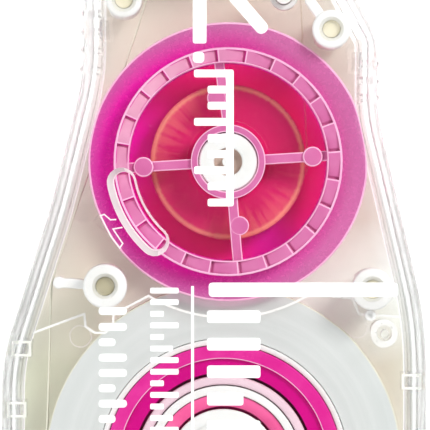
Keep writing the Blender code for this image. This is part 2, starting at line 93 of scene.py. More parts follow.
SPOOL_TOP = 6.95
REEL_BORE = 2.65
WEB_Z = 3.4
TIP_BORE = 0.75
IN_WALL = WALL - 0.4
IN_ROOF = CASE_DEPTH - WALL + 0.4
WELL_PAST = (-30, 30, -30, 70)
MOULD_MARKS = ((-12.8, 11.1, 1.0), (11.75, 11.97, 1.05), (-12.6, 7.0, 0.95))
PLASTIC_IOR = 1.47
SMOOTH_BELOW = math.radians(32.0)


# ---- materials
class Shader:
    """A small helper round one node tree, of a new material or of the world."""

    def __init__(self, name, owner=None):
        self.material = owner or bpy.data.materials.new(name)
        self.material.use_nodes = True
        self.tree = self.material.node_tree
        self.bsdf = self.tree.nodes.get("Principled BSDF")

    def node(self, kind, **values):
        made = self.tree.nodes.new(kind)
        for key, value in values.items():
            if key in made.bl_rna.properties:
                setattr(made, key, value)
            else:
                made.inputs[key.replace("_", " ")].default_value = value
        return made

    def link(self, out, to):
        self.tree.links.new(out, to)

    def set(self, **values):
        for key, value in values.items():
            self.bsdf.inputs[key.replace("_", " ")].default_value = value

    def position(self, scale=(1.0, 1.0, 1.0), offset=(0.0, 0.0, 0.0)):
        """Object coordinates in millimetres about an offset, stretched by scale."""
        coordinates = self.node("ShaderNodeTexCoord")
        mapping = self.node("ShaderNodeMapping", Scale=[s / MM for s in scale],
                            Location=[-o * s for o, s in zip(offset, scale)])
        self.link(coordinates.outputs["Object"], mapping.inputs["Vector"])
        return mapping.outputs["Vector"]

    def noise(self, vector, scale, detail=3.0, roughness=0.5):
        made = self.node("ShaderNodeTexNoise", Scale=scale, Detail=detail, Roughness=roughness)
        self.link(vector, made.inputs["Vector"])
        return made.outputs["Fac"]

    def ramp(self, value, stops):
        """A colour ramp; stops are (position, colour)."""
        made = self.node("ShaderNodeValToRGB")
        self.link(value, made.inputs["Fac"])
        elements = made.color_ramp.elements
        while len(elements) < len(stops):
            elements.new(0.5)
        for element, (at, colour) in zip(elements, stops):
            element.position = at
            element.color = (*colour, 1.0)
        return made.outputs["Color"]

    def remap(self, value, low, high, to_low=0.0, to_high=1.0):
        made = self.node("ShaderNodeMapRange", From_Min=low, From_Max=high, To_Min=to_low,
                         To_Max=to_high)
        self.link(value, made.inputs["Value"])
        return made.outputs["Result"]

    def bump(self, height, distance, strength):
        made = self.node("ShaderNodeBump", Strength=strength, Distance=distance * MM)
        self.link(height, made.inputs["Height"])
        self.link(made.outputs["Normal"], self.bsdf.inputs["Normal"])

    def plan(self, operation, centre):
        """A vector node fed with the plan position about an upright axis."""
        made = self.node("ShaderNodeVectorMath", operation=operation)
        self.link(self.position((1.0, 1.0, 0.0), (*centre, 0.0)), made.inputs[0])
        return made.outputs

    def radius(self, centre):
        """Distance in millimetres from an upright axis."""
        return self.plan("LENGTH", centre)["Value"]

    def direction(self, centre):
        """Unit vector away from an upright axis."""
        return self.plan("NORMALIZE", centre)["Vector"]

    def mix(self, factor, first, second):
        """Blend two colours (tuples or sockets) by a factor socket."""
        made = self.node("ShaderNodeMix", data_type="RGBA")
        self.link(factor, made.inputs["Factor"])
        for value, key in ((first, "A"), (second, "B")):
            if isinstance(value, tuple):
                made.inputs[key].default_value = (*value, 1.0)
            else:
                self.link(value, made.inputs[key])
        return made.outputs["Result"]

    def math(self, operation, a, b=0.0, c=0.0):
        made = self.node("ShaderNodeMath", operation=operation)
        for value, socket in zip((a, b, c), made.inputs):
            if isinstance(value, float):
                socket.default_value = value
            else:
                self.link(value, socket)
        return made.outputs["Value"]

    def lobe(self, centre, degrees, power):
        """1 in one direction from an axis, falling away to either side."""
        dot = self.node("ShaderNodeVectorMath", operation="DOT_PRODUCT")
        self.link(self.direction(centre), dot.inputs[0])
        angle = math.radians(degrees)
        dot.inputs[1].default_value = (math.cos(angle), math.sin(angle), 0.0)
        return self.math("POWER", self.math("MAXIMUM", dot.outputs["Value"], 0.0), power)

    def axes(self, vector):
        """The separate coordinates of a position."""
        split = self.node("ShaderNodeSeparateXYZ")
        self.link(vector, split.inputs["Vector"])
        return split.outputs

    def height(self, where, scale, reach):
        """Height along the case, wandering up and down by a reach."""
        drift = self.math("MULTIPLY_ADD", self.noise(where, scale, 2.0), 2.0 * reach, -reach)
        return self.math("ADD", self.axes(where)["Y"], drift)

    def colour(self, socket):
        self.link(socket, self.bsdf.inputs["Base Color"])

    def colour_so_far(self):
        return self.bsdf.inputs["Base Color"].links[0].from_socket

    def tints(self, where, scale, colours, detail=3.0, edge=0.3):
        """Base colour that drifts between two tints."""
        stops = [(edge, colours[0]), (1.0 - edge, colours[1])]
        self.colour(self.ramp(self.noise(where, scale, detail), stops))

    def gloss(self, where, scale, limits):
        """Roughness that drifts between two limits."""
        rough = self.remap(self.noise(where, scale), 0.3, 0.7, *limits)
        self.link(rough, self.bsdf.inputs["Roughness"])

    def moulded(self, colours, roughness, scales, depth, strength=0.4):
        """Drifting tint, uneven gloss and fine grain, each with its own scale."""
        drift, gloss, grain = scales
        where = self.position()
        self.tints(where, drift, colours)
        self.gloss(where, gloss, roughness)
        self.bump(self.noise(where, grain, 2.0), depth, strength)

    def polished(self, where, roughness, light):
        """Clear plastic's gloss, flow marks and way of passing light."""
        self.gloss(where, 1.6, roughness)
        self.bump(self.noise(where, 0.35, 2.0), 0.02, 0.5)
        self.lets_light_through(light)

    def lets_light_through(self, colour):
        """Lamps and bounced light pass straight through; the camera sees the real surface."""
        path = self.node("ShaderNodeLightPath").outputs
        either = self.math("MAXIMUM", path["Is Shadow Ray"], path["Is Diffuse Ray"])
        clear = self.node("ShaderNodeBsdfTransparent", Color=(*colour, 1.0))
        mix = self.node("ShaderNodeMixShader")
        self.link(either, mix.inputs["Fac"])
        self.link(self.bsdf.outputs["BSDF"], mix.inputs[1])
        self.link(clear.outputs["BSDF"], mix.inputs[2])
        self.link(mix.outputs["Shader"], self.tree.nodes["Material Output"].inputs["Surface"])


def clear_plastic(name, colours, light, roughness=(0.02, 0.06)):
    """Polished see-through plastic with a slow drift between two tints."""
    s = Shader(name)
    s.set(Transmission_Weight=1.0, IOR=PLASTIC_IOR)
    where = s.position()
    s.tints(where, 0.06, colours, 2.0, 0.35)
    s.polished(where, roughness, light)
    return s.material


def solid_plastic(name, colours, roughness=(0.25, 0.4), grain=9.0, depth=0.004, subsurface=0.0):
    """Moulded opaque plastic."""
    s = Shader(name)
    s.moulded(colours, roughness, (0.25, 2.2, grain), depth, 0.6)
    if subsurface:
        s.set(Subsurface_Weight=subsurface, Subsurface_Radius=(0.9 * MM, 0.8 * MM, 0.7 * MM))
    return s.material


def milky(name, colours, transmission, roughness, light):
    """Cloudy plastic for rims and bosses: mostly white, a little see-through."""
    s = Shader(name)
    s.set(Transmission_Weight=transmission, IOR=PLASTIC_IOR)
    s.moulded(colours, roughness, (0.6, 2.4, 6.0), 0.002)
    s.lets_light_through(light)
    return s.material


def magenta(name, colours, transmission=0.0, roughness=(0.25, 0.4), specular=0.25, light=None):
    """Frosted magenta plastic; gives the shader, so that a look can be built on it."""
    s = Shader(name)
    s.set(Transmission_Weight=transmission, IOR=PLASTIC_IOR, Specular_IOR_Level=specular)
    s.moulded(colours, roughness, (0.5, 2.0, 8.0), 0.003)
    if light:
        s.lets_light_through(light)
    return s


def wound_film(name, centre, pitch, dark, light, sheen=(0.35, 0.55)):
    """The side of a roll: turn lines at a fine pitch, broad rings of slightly different tone."""
    s = Shader(name)
    radius = s.radius(centre)

    def rings(scale, detail):
        made = s.node("ShaderNodeTexNoise", noise_dimensions="1D", Scale=scale, Detail=detail)
        s.link(radius, made.inputs["W"])
        return made.outputs["Fac"]

    turns = rings(1.0 / pitch, 2.0)
    both = s.math("MULTIPLY_ADD", turns, 0.35, rings(0.7, 3.0))
    s.colour(s.ramp(both, [(0.45, dark), (0.95, light)]))
    s.link(s.remap(turns, 0.3, 0.7, *sheen), s.bsdf.inputs["Roughness"])
    s.bump(turns, 0.012, 0.5)
    return s


def clear_wall():
    """The side walls on edge: greyer round the wide end, nearly colourless towards the tip."""
    s = Shader("clear_wall")
    s.set(Transmission_Weight=0.86, IOR=PLASTIC_IOR)
    where = s.position()
    height = s.remap(s.height(where, 0.1, 5.0), 14.0, 32.0)
    s.colour(s.mix(height, (0.6, 0.615, 0.6), (0.92, 0.92, 0.91)))
    s.polished(where, (0.04, 0.1), (0.95, 0.96, 0.96))
    return s.material


def floor_tint_and_light():
    """Inside of the rear wall: warm at the top, a paler middle of painted light, greener low on the
    left.
    """
    s = Shader("rear_floor_tint_and_light")
    s.set(Transmission_Weight=1.0, IOR=PLASTIC_IOR)
    where = s.position()
    height = s.height(where, 0.08, 3.0)
    across = s.remap(s.axes(where)["X"], -12.0, 12.0)
    low = s.mix(across, (0.47, 0.51, 0.34), (0.62, 0.58, 0.42))
    # Painted light: the paler middle band lifts the shade cast by the reels and the plate, and its
    # greener right side offsets light tinted by the magenta parts.
    middle = s.mix(across, (0.74, 0.72, 0.56), (0.9, 0.97, 0.92))
    lower = s.mix(s.remap(height, 9.0, 14.0), low, middle)
    s.colour(s.mix(s.remap(height, 16.0, 21.0), lower, (0.58, 0.52, 0.43)))
    s.gloss(where, 1.6, (0.05, 0.12))
    s.lets_light_through((0.92, 0.88, 0.83))
    return s.material


def reel_flange():
    """Deep magenta near the ratchet, with a painted lilac sheen towards the rim and towards the
    light.
    """
    tints = ((0.6, 0.01, 0.3), (0.62, 0.01, 0.3))
    s = magenta("magenta_flange", tints, 0.2, (0.2, 0.32), 0.3, (0.92, 0.45, 0.7))
    # Painted light: side, rim and haze lift the flange to a lilac sheen on the right and out at the
    # rim.
    side = s.math("SUBTRACT", s.lobe(TAKEUP, 10.0, 1.0), s.lobe(TAKEUP, 190.0, 1.0))
    rim = s.math("MULTIPLY", s.math("SUBTRACT", s.radius(TAKEUP), RATCHET_R[1] + 0.5), 0.42)
    haze = s.math("ADD", s.math("MULTIPLY_ADD", side, 0.58, 0.36), rim)
    cloud = s.math("MULTIPLY_ADD", s.noise(s.position(), 0.22, 2.0), 0.3, -0.15)
    factor = s.remap(s.math("ADD", haze, cloud), 0.0, 1.0)
    painted_sheen = s.mix(s.remap(side, -0.8, 0.8), (0.5, 0.15, 0.36), (0.62, 0.155, 0.4))
    s.colour(s.mix(factor, (0.72, 0.002, 0.36), painted_sheen))
    return s.material


def lower_flange():
    """Crimson-magenta seen through the reel's windows, with two brighter patches."""
    tints = ((0.92, 0.008, 0.25), (0.97, 0.014, 0.28))
    s = magenta("magenta_lower", tints, 0.0, (0.3, 0.4), 0.05)
    patch = s.math("ADD", s.lobe(TAKEUP, 170.0, 7.0), s.lobe(TAKEUP, 297.0, 22.0))
    s.colour(s.mix(s.math("MINIMUM", patch, 1.0), s.colour_so_far(), (0.98, 0.001, 0.52)))
    return s.material


def ratchet_pink():
    """Frosted pads of the ratchet ring, paler towards the upper left."""
    s = magenta("magenta_frosted", ((0.0, 0.0, 0.0), (0.06, 0.05, 0.06)), 0.0, (0.35, 0.5))
    body = s.mix(s.lobe(TAKEUP, 140.0, 2.0), (0.58, 0.13, 0.33), (0.68, 0.3, 0.44))
    blend = s.node("ShaderNodeMix", data_type="RGBA", blend_type="ADD", Factor=1.0)
    s.link(body, blend.inputs["A"])
    s.link(s.colour_so_far(), blend.inputs["B"])
    s.colour(blend.outputs["Result"])
    return s.material


def liner_side():
    """Crimson film on edge: orange streaks run out to a painted amber highlight at the last turn.
    """
    s = wound_film("liner_roll_side", TAKEUP, 0.12, (0.66, 0.008, 0.13), (0.74, 0.016, 0.165),
                   (0.4, 0.6))
    s.set(Specular_IOR_Level=0.1)
    radius = s.radius(TAKEUP)
    around = s.direction(TAKEUP)
    streaks = s.noise(around, 11.0, 4.0, 0.65)
    reach = s.math("ADD", s.lobe(TAKEUP, 155.0, 2.0), s.lobe(TAKEUP, 300.0, 3.0))
    inner = s.math("MULTIPLY_ADD", streaks, -7.5, 9.0)
    outward = s.remap(s.math("SUBTRACT", radius, inner), -0.6, 1.6, 0.0, 0.95)
    warm = s.math("MINIMUM", s.math("MULTIPLY", outward, reach), 1.0)
    tone = s.mix(warm, s.colour_so_far(), (0.8, 0.12, 0.17))
    # Painted light: the amber ring is a highlight put on the outermost turns of the roll.
    peak = s.math("ABSOLUTE", s.math("SUBTRACT", radius, TAKEUP_ROLL_R - 0.28))
    ragged = s.math("MULTIPLY_ADD", s.noise(around, 26.0, 4.0, 0.7), 4.0, -1.3)
    ragged = s.math("MAXIMUM", s.math("MINIMUM", ragged, 1.0), 0.0)
    width = s.math("MULTIPLY_ADD", ragged, 0.22, 0.18)
    painted_amber_glow = s.math("SUBTRACT", 0.85, s.math("DIVIDE", peak, width))
    s.colour(s.mix(s.math("MAXIMUM", painted_amber_glow, 0.0), tone, (0.95, 0.37, 0.26)))
    return s.material


CLEAR_FRONT = clear_plastic(
    "clear_front", ((0.955, 0.955, 0.955), (0.97, 0.97, 0.97)), (0.985, 0.985, 0.98))
CLEAR_REAR = clear_plastic(
    "clear_rear", ((0.945, 0.945, 0.94), (0.96, 0.96, 0.955)), (0.98, 0.98, 0.975))
CLEAR_PLATE = clear_plastic(
    "clear_plate", ((0.975, 0.975, 0.97), (0.985, 0.985, 0.98)), (0.98, 0.98, 0.98), (0.04, 0.1))
CLEAR_CAP = clear_plastic(
    "clear_cap", ((0.84, 0.86, 0.87), (0.9, 0.92, 0.92)), (0.95, 0.96, 0.96))
LINER_FACE = clear_plastic(
    "liner_strip", ((0.96, 0.9, 0.8), (0.97, 0.93, 0.85)), (0.97, 0.93, 0.86), (0.15, 0.25))
CLEAR_WALL = clear_wall()
FLOOR_TINT_AND_LIGHT = floor_tint_and_light()

MILKY = milky(
    "milky_rim", ((0.9, 0.9, 0.87), (0.95, 0.95, 0.93)), 0.25, (0.25, 0.4), (0.9, 0.9, 0.88))
RIM = milky(
    "cloudy_rim", ((0.64, 0.62, 0.61), (0.7, 0.68, 0.66)), 0.15, (0.35, 0.5), (0.9, 0.9, 0.88))
HAZE = milky(
    "hazy_line", ((0.95, 0.95, 0.9), (0.97, 0.97, 0.94)), 0.6, (0.3, 0.5), (0.95, 0.95, 0.93))
# Painted shade down the boss bores, a lighter and a darker one.
BORE = milky(
    "bore_shade", ((0.92, 0.87, 0.7), (0.96, 0.92, 0.78)), 0.1, (0.3, 0.5), (0.9, 0.88, 0.8))
BORE_DARK = milky(
    "bore_dark_shade", ((0.5, 0.46, 0.33), (0.58, 0.54, 0.4)), 0.1, (0.3, 0.5), (0.8, 0.78, 0.7))
PRINT = milky(
    "white_ink", ((0.9, 0.91, 0.9), (0.94, 0.95, 0.94)), 0.0, (0.45, 0.6), (0.9, 0.9, 0.9))
PRINT_PALE = milky(
    "pale_ink", ((0.93, 0.94, 0.93), (0.96, 0.97, 0.96)), 0.45, (0.45, 0.6), (0.95, 0.95, 0.95))

WHITE = solid_plastic("white_acetal", ((0.8, 0.8, 0.78), (0.86, 0.86, 0.85)), subsurface=0.2)
BROWN = solid_plastic("brown_shade", ((0.52, 0.38, 0.32), (0.62, 0.5, 0.44)), (0.4, 0.6))
RUBBER = solid_plastic(
    "pale_rubber", ((0.74, 0.53, 0.61), (0.8, 0.61, 0.68)), (0.55, 0.7), 12.0, 0.006)
STEEL = solid_plastic(
    "ground_steel", ((0.6, 0.6, 0.62), (0.68, 0.68, 0.7)), (0.2, 0.35), 20.0, 0.002)
STEEL.node_tree.nodes["Principled BSDF"].inputs["Metallic"].default_value = 1.0
TAPE_FACE = solid_plastic(
    "coated_tape_face", ((0.68, 0.67, 0.55), (0.75, 0.74, 0.62)), (0.5, 0.65), 16.0, 0.003)
TAPE_SIDE = wound_film(
    "tape_roll_side", SUPPLY, 0.1, (0.57, 0.6, 0.585), (0.67, 0.69, 0.68)).material
LINER_SIDE = liner_side()

FLANGE = reel_flange()
LOWER = lower_flange()
PINK = ratchet_pink()
# Painted highlight for lit edges, and painted shade for ratchet creases turned away from the key
# lamp.
PINK_HIGHLIGHT = magenta("magenta_edge_highlight", ((0.86, 0.42, 0.64), (0.9, 0.5, 0.7))).material
NOTCH_SHADE = magenta("magenta_notch_shade", ((0.72, 0.01, 0.37), (0.8, 0.016, 0.43)), specular=0.1).material
SPOKE = magenta(
    "magenta_spoke", ((0.56, 0.115, 0.31), (0.63, 0.16, 0.37)), 0.0, (0.4, 0.55), 0.15).material
RING_PINK = magenta("magenta_ring", ((0.82, 0.1, 0.31), (0.88, 0.14, 0.36))).material
DEEP = magenta(
    "magenta_deep", ((0.56, 0.0008, 0.2), (0.62, 0.001, 0.23)), specular=0.08).material
DEEP_LIGHT = magenta(
    "magenta_step", ((0.66, 0.014, 0.26), (0.72, 0.035, 0.31)), specular=0.15).material


# ---- mesh tools
def place(name, data):
    made = bpy.data.objects.new(name, data)
    bpy.context.scene.collection.objects.link(made)
    return made


def discard(solid):
    mesh = solid.data
    bpy.data.objects.remove(solid)
    bpy.data.meshes.remove(mesh)


def opened(*solids):
    """One editable mesh of working solids, which are used up."""
    bm = bmesh.new()
    for solid in solids:
        bm.from_mesh(solid.data)
        discard(solid)
    return bm


def closed(bm, name="work"):
    """An object from an editable mesh, which is used up."""
    mesh = bpy.data.meshes.new(name)
    bm.to_mesh(mesh)
    bm.free()
    return place(name, mesh)


def finish_mesh(bm, name, materials):
    """Scale to metres, smooth all but the sharp edges and link the object."""
    bmesh.ops.remove_doubles(bm, verts=bm.verts, dist=0.0005)
    bmesh.ops.recalc_face_normals(bm, faces=bm.faces)
    for face in bm.faces:
        face.smooth = True
    for edge in bm.edges:
        edge.smooth = len(edge.link_faces) == 2 and edge.calc_face_angle(math.pi) < SMOOTH_BELOW
    bmesh.ops.scale(bm, verts=bm.verts, vec=(MM, MM, MM))
    made = closed(bm, name)
    for one in materials:
        made.data.materials.append(one)
    return made


def piece(solid, name, body, nodes=(), materials=(), pick=None):
    """Turn a working solid (in millimetres) into a finished piece on a body.

    pick(centre, normal, index) gives a face's material index; without it the indices stay as built.
    """
    bm = opened(solid)
    if pick:
        bm.normal_update()
        for face in bm.faces:
            face.material_index = pick(face.calc_center_median(), face.normal, face.material_index)
    made = finish_mesh(bm, name, materials)
    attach(made, body)
    if nodes:
        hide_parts(*nodes)
    return made


def skin(rings, wrap=False, index=0):
    """A working solid between rings of points; ends are capped unless it wraps round."""
    bm = bmesh.new()
    rows = [[bm.verts.new(point) for point in ring] for ring in rings]
    count = len(rows[0])
    pairs = list(zip(rows, rows[1:]))
    if wrap:
        pairs.append((rows[-1], rows[0]))
    for low, high in pairs:
        for i in range(count):
            j = (i + 1) % count
            bm.faces.new((low[i], low[j], high[j], high[i]))
    if not wrap:
        caps = [bm.faces.new(rows[0]), bm.faces.new(rows[-1])]
        bmesh.ops.triangulate(bm, faces=caps)
    bmesh.ops.recalc_face_normals(bm, faces=bm.faces)
    for face in bm.faces:
        face.material_index = index
    return closed(bm)


def boolean(body, tool, operation):
    """Work a tool, which is used up, into a body; two empty slots keep the faces' indices."""
    modifier = body.modifiers.new("boolean", "BOOLEAN")
    modifier.operation = operation
    modifier.solver = "EXACT"
    modifier.object = tool
    for _ in range(2 - len(body.data.materials)):
        body.data.materials.append(None)
    depsgraph = bpy.context.evaluated_depsgraph_get()
    result = bpy.data.meshes.new_from_object(body.evaluated_get(depsgraph))
    body.modifiers.clear()
    old = body.data
    body.data = result
    bpy.data.meshes.remove(old)
    discard(tool)


def join(body, *tools):
    for tool in tools:
        boolean(body, tool, "UNION")
    return body


def cut(body, *tools):
    for tool in tools:
        boolean(body, tool, "DIFFERENCE")
    return body


# ---- plan outlines
def spot(centre, radius, angle):
    return centre[0] + radius * math.cos(angle), centre[1] + radius * math.sin(angle)


def circle(centre, radius, count):
    turn = 2.0 * math.pi / count
    return [spot(centre, radius, i * turn) for i in range(count)]


def rounded_outline(corners, step=3.0):
    """Closed outline through corners (x, y, fillet radius)."""
    points = []
    count = len(corners)
    for i in range(count):
        corner = Vector(corners[i][:2])
        before = (Vector(corners[i - 1][:2]) - corner).normalized()
        after = (Vector(corners[(i + 1) % count][:2]) - corner).normalized()
        half = before.angle(after) / 2.0
        radius = corners[i][2]
        centre = corner + (before + after).normalized() * (radius / math.sin(half))
        start = corner + before * (radius / math.tan(half)) - centre
        end = corner + after * (radius / math.tan(half)) - centre
        sweep = math.atan2(start.x * end.y - start.y * end.x, start.dot(end))
        pieces = max(3, math.ceil(abs(math.degrees(sweep)) / step))
        for k in range(pieces + 1):
            angle = sweep * k / pieces
            cosine, sine = math.cos(angle), math.sin(angle)
            points.append((centre.x + start.x * cosine - start.y * sine,
                           centre.y + start.x * sine + start.y * cosine))
    kept = []
    for point in points:
        if not kept or math.dist(point, kept[-1]) > 0.02:
            kept.append(point)
    if math.dist(kept[0], kept[-1]) < 0.02:
        kept.pop()
    return kept


def mitre(back, ahead, width):
    """Sideways step at a corner between two edges, for an even width."""
    n0, n1 = (Vector((-edge.y, edge.x)).normalized() for edge in (back, ahead))
    middle = (n0 + n1).normalized()
    return middle * (width / middle.dot(n0))


def inset(points, distance):
    """Move a counter-clockwise outline inward by the same distance everywhere."""
    moved = []
    for i, point in enumerate(points):
        here = Vector(point)
        back = here - Vector(points[i - 1])
        ahead = Vector(points[(i + 1) % len(points)]) - here
        moved.append(tuple(here + mitre(back, ahead, distance)))
    return moved


def arc(centre, radius, start, end, pieces):
    """Points of an arc between two angles in degrees."""
    return [spot(centre, radius, math.radians(start + (end - start) * k / pieces))
            for k in range(pieces + 1)]


def polar(centre, radius, degrees):
    return spot(centre, radius, math.radians(degrees))


def bar_points(start, end, width, rounded=0.0):
    """Counter-clockwise outline of a straight bar, optionally with rounded corners."""
    a, b = Vector(start), Vector(end)
    along = (b - a).normalized()
    side = Vector((-along.y, along.x)) * (width / 2.0)
    corners = [a - side, b - side, b + side, a + side]
    if not rounded:
        return [tuple(c) for c in corners]
    return rounded_outline([(c.x, c.y, rounded) for c in corners], 22.5)


def round_box(x0, x1, y0, y1, radius, step):
    corners = [(x0, y0, radius), (x1, y0, radius), (x1, y1, radius), (x0, y1, radius)]
    return rounded_outline(corners, step)


def section(x0, x1, z0, z1, radius, y):
    """An upright ring of points across the case, with round corners."""
    return [(x, y, z) for x, z in round_box(x0, x1, z0, z1, radius, 15.0)]


def slot_ring(half, z, shift):
    """Outline of the curved slack window at one half width, with round ends."""
    pieces = 20
    start, end = SLOT_ANGLES
    middle = SLOT_R + shift
    outer = arc(TAKEUP, middle + half, start, end, pieces)
    inner = arc(TAKEUP, middle - half, end, start, pieces)
    far = arc(polar(TAKEUP, middle, end), half, end, end + 180.0, 10)[1:-1]
    near = arc(polar(TAKEUP, middle, start), half, start + 180.0, start + 360.0, 10)[1:-1]
    return [(x, y, z) for x, y in outer + far + inner + near]


OUTLINE = rounded_outline(CASE_OUTLINE)


def side_x(y, side):
    """Outer wall position at a height along the case, left (-1) or right (+1)."""
    found = []
    for i, (ax, ay) in enumerate(OUTLINE):
        bx, by = OUTLINE[(i + 1) % len(OUTLINE)]
        if min(ay, by) <= y <= max(ay, by) and ay != by:
            found.append(ax + (bx - ax) * (y - ay) / (by - ay))
    return max(found) if side > 0 else min(found)


# ---- solids
def prism(points, z0, z1, index=0):
    return skin([[(x, y, z) for x, y in points] for z in (z0, z1)], index=index)


def box(x0, x1, y0, y1, z0, z1, index=0):
    return prism([(x0, y0), (x1, y0), (x1, y1), (x0, y1)], z0, z1, index)


def slab(points, z0, z1, low_round, high_round, steps=7, index=0):
    """A prism whose lower and upper edges are rounded over."""
    quarter = [math.pi / 2.0 * k / steps for k in range(steps + 1)]
    rings = [(low_round * (1.0 - math.sin(a)), z0 + low_round * (1.0 - math.cos(a)))
             for a in quarter]
    rings += [(high_round * (1.0 - math.cos(a)), z1 - high_round * (1.0 - math.sin(a)))
              for a in quarter]
    return skin([[(x, y, z) for x, y in inset(points, d)] for d, z in rings], index=index)


def soft_prism(points, z0, z1, edge=0.12, index=0):
    return slab(points, z0, z1, edge, edge, 3, index)


def rod(centre, radius, z0, z1, count=48, edge=0.1, index=0):
    return soft_prism(circle(centre, radius, count), z0, z1, edge, index)


def rounded_profile(points, radius=0.1, steps=3):
    """A closed (r, z) profile with each corner replaced by a short arc."""
    out = []
    for i, corner in enumerate(points):
        here = Vector(corner[:2])
        before = Vector(points[i - 1][:2]) - here
        after = Vector(points[(i + 1) % len(points)][:2]) - here
        wanted = radius if len(corner) < 3 else corner[2]
        reach = min(wanted, before.length * 0.45, after.length * 0.45)
        a, b = here + before.normalized() * reach, here + after.normalized() * reach
        for k in range(steps + 1):
            t = k / steps
            out.append(tuple(a * (1 - t) ** 2 + here * 2 * t * (1 - t) + b * t * t))
    return out


def upright(centre, angle, profile):
    """An (r, z) profile stood on edge at one angle about an axis."""
    return [(*spot(centre, r, angle), z) for r, z in profile]


def lathe(centre, profile, count=128, radius=0.1, index=0):
    """Revolve a closed (r, z) profile that stays clear of the axis."""
    shape = rounded_profile(profile, radius)
    rings = [upright(centre, 2.0 * math.pi * i / count, shape) for i in range(count)]
    return skin(rings, wrap=True, index=index)


def ring(centre, r0, r1, z0, z1, count=96, radius=0.1, index=0):
    return lathe(centre, [(r0, z0), (r1, z0), (r1, z1), (r0, z1)], count, radius, index)


def ribbon(path, width=0.12, heights=TAPE_Z, index=0):
    """A strip standing on edge along a plan path."""
    rings = []
    z0, z1 = heights
    for i, point in enumerate(path):
        here = Vector(point)
        back = here - Vector(path[i - 1]) if i else Vector(path[1]) - here
        ahead = Vector(path[i + 1]) - here if i + 1 < len(path) else back
        step = mitre(back, ahead, width / 2.0)
        a, b = here + step, here - step
        rings.append([(a.x, a.y, z0), (b.x, b.y, z0), (b.x, b.y, z1), (a.x, a.y, z1)])
    return skin(rings, index=index)


# ---- case
def hollow_case():
    x0, x1 = NECK_X
    z0, z1 = NECK_Z

    def neck_ring(inward, radius, y):
        return section(x0 + inward, x1 - inward, z0 + inward, z1 - inward, radius, y)

    outer = slab(OUTLINE, 0.0, CASE_DEPTH, REAR_EDGE, FRONT_EDGE)
    neck = skin([neck_ring(0.0, 2.6, 45.0), neck_ring(0.0, 2.6, NECK_END - 0.25),
                 neck_ring(0.25, 2.4, NECK_END)])
    room = slab(inset(OUTLINE, WALL), WALL, CASE_DEPTH - WALL, REAR_EDGE - WALL, FRONT_EDGE - WALL)
    throat = skin([neck_ring(1.0, 1.6, 44.0), neck_ring(1.0, 1.6, NECK_END + 2.0)])
    join(outer, neck)
    return cut(outer, room, throat)


def grip_ribs(z0, z1):
    spots = [(y, -1) for y in (34.9, 36.6, 38.2, 39.8)] + [(y, 1) for y in (32.4, 33.9, 35.4)]
    return [rod((side_x(y, side) - 0.17 * side, y), 0.4, z0, z1, 20, 0.15) for y, side in spots]


def build_covers():
    rear = hollow_case()
    front = place("work", rear.data.copy())
    finish_rear(cut(rear, box(*WELL_PAST, SEAM[0], 20)))
    finish_front(cut(front, box(*WELL_PAST, -5, SEAM[1])))


def finish_rear(rear):
    white, haze, tint, wall = range(1, 5)
    x, y, outer_r, bore_r = SMALL_BOSS
    join(rear, ring((x, y), bore_r, outer_r, IN_WALL, 5.8, 48, index=white))
    join(rear, *grip_ribs(2.6, SEAM[0]))
    for centre in (SUPPLY, TAKEUP, IDLER):
        join(rear, ring(centre, 2.55, 3.0, IN_WALL, 1.35, 48, 0.05))
    for x, y, radius in MOULD_MARKS:
        join(rear, ring((x, y), radius - 0.09, radius, WALL - 0.2, WALL + 0.06, 40, 0.03, haze))

    def look(centre, normal, old):
        """Side walls are greyer than the broad faces; the inside floor carries the warm tint and
        painted light.
        """
        if old == 0 and abs(normal.z) < 0.8:
            return wall
        return tint if old == 0 and abs(centre.z - WALL) < 0.02 and normal.z > 0.9 else old

    piece(rear, "rear_shell", "case", ["rear_cover"],
          [CLEAR_REAR, MILKY, HAZE, FLOOR_TINT_AND_LIGHT, CLEAR_WALL], pick=look)


def finish_front(front):
    white, bore, haze, rim, wall, dark_bore = range(1, 7)
    flare = ((0.0, 9.0, 0.0), (0.0, 11.0, 0.0), (0.1, 11.25, 0.02), (0.3, 11.7, 0.15),
             (0.4, 11.84, 0.2), (0.45, 12.2, 0.23))
    cut(front, skin([slot_ring(SLOT_HALF + wider, z, shift) for wider, z, shift in flare],
                    index=white))
    join(front, *grip_ribs(SEAM[1], 9.6))
    for k, (x, y, outer_r, bore_r) in enumerate(BOSSES):
        # Painted shade: the pins' tops show the shade down the bores, darker in the third boss.
        shade = dark_bore if k == 2 else bore
        join(front, rod((x, y), bore_r - 0.04, 9.7, IN_ROOF, 32, index=shade))
    x, y, outer_r, bore_r = SMALL_BOSS
    join(front, rod((x, y), bore_r - 0.3, 5.0, IN_ROOF, 24, index=white))
    for y, side in SNAPS:
        snap_tongue(front, y, side, haze)
    join(front, half_arrow(white))

    def look(centre, normal, old):
        """Side walls are greyer; the slack window's flare is cloudy between whiter borders."""
        if old == 0 and abs(normal.z) < 0.8:
            return wall
        flared = 11.3 < centre.z < 11.82 and abs(normal.z) < 0.95 and centre.y > 16.5
        return rim if old == white and flared and normal.x > -0.1 else old

    piece(front, "front_shell", "case", ["front_cover"],
          [CLEAR_FRONT, MILKY, BORE, HAZE, RIM, CLEAR_WALL, BORE_DARK], pick=look)


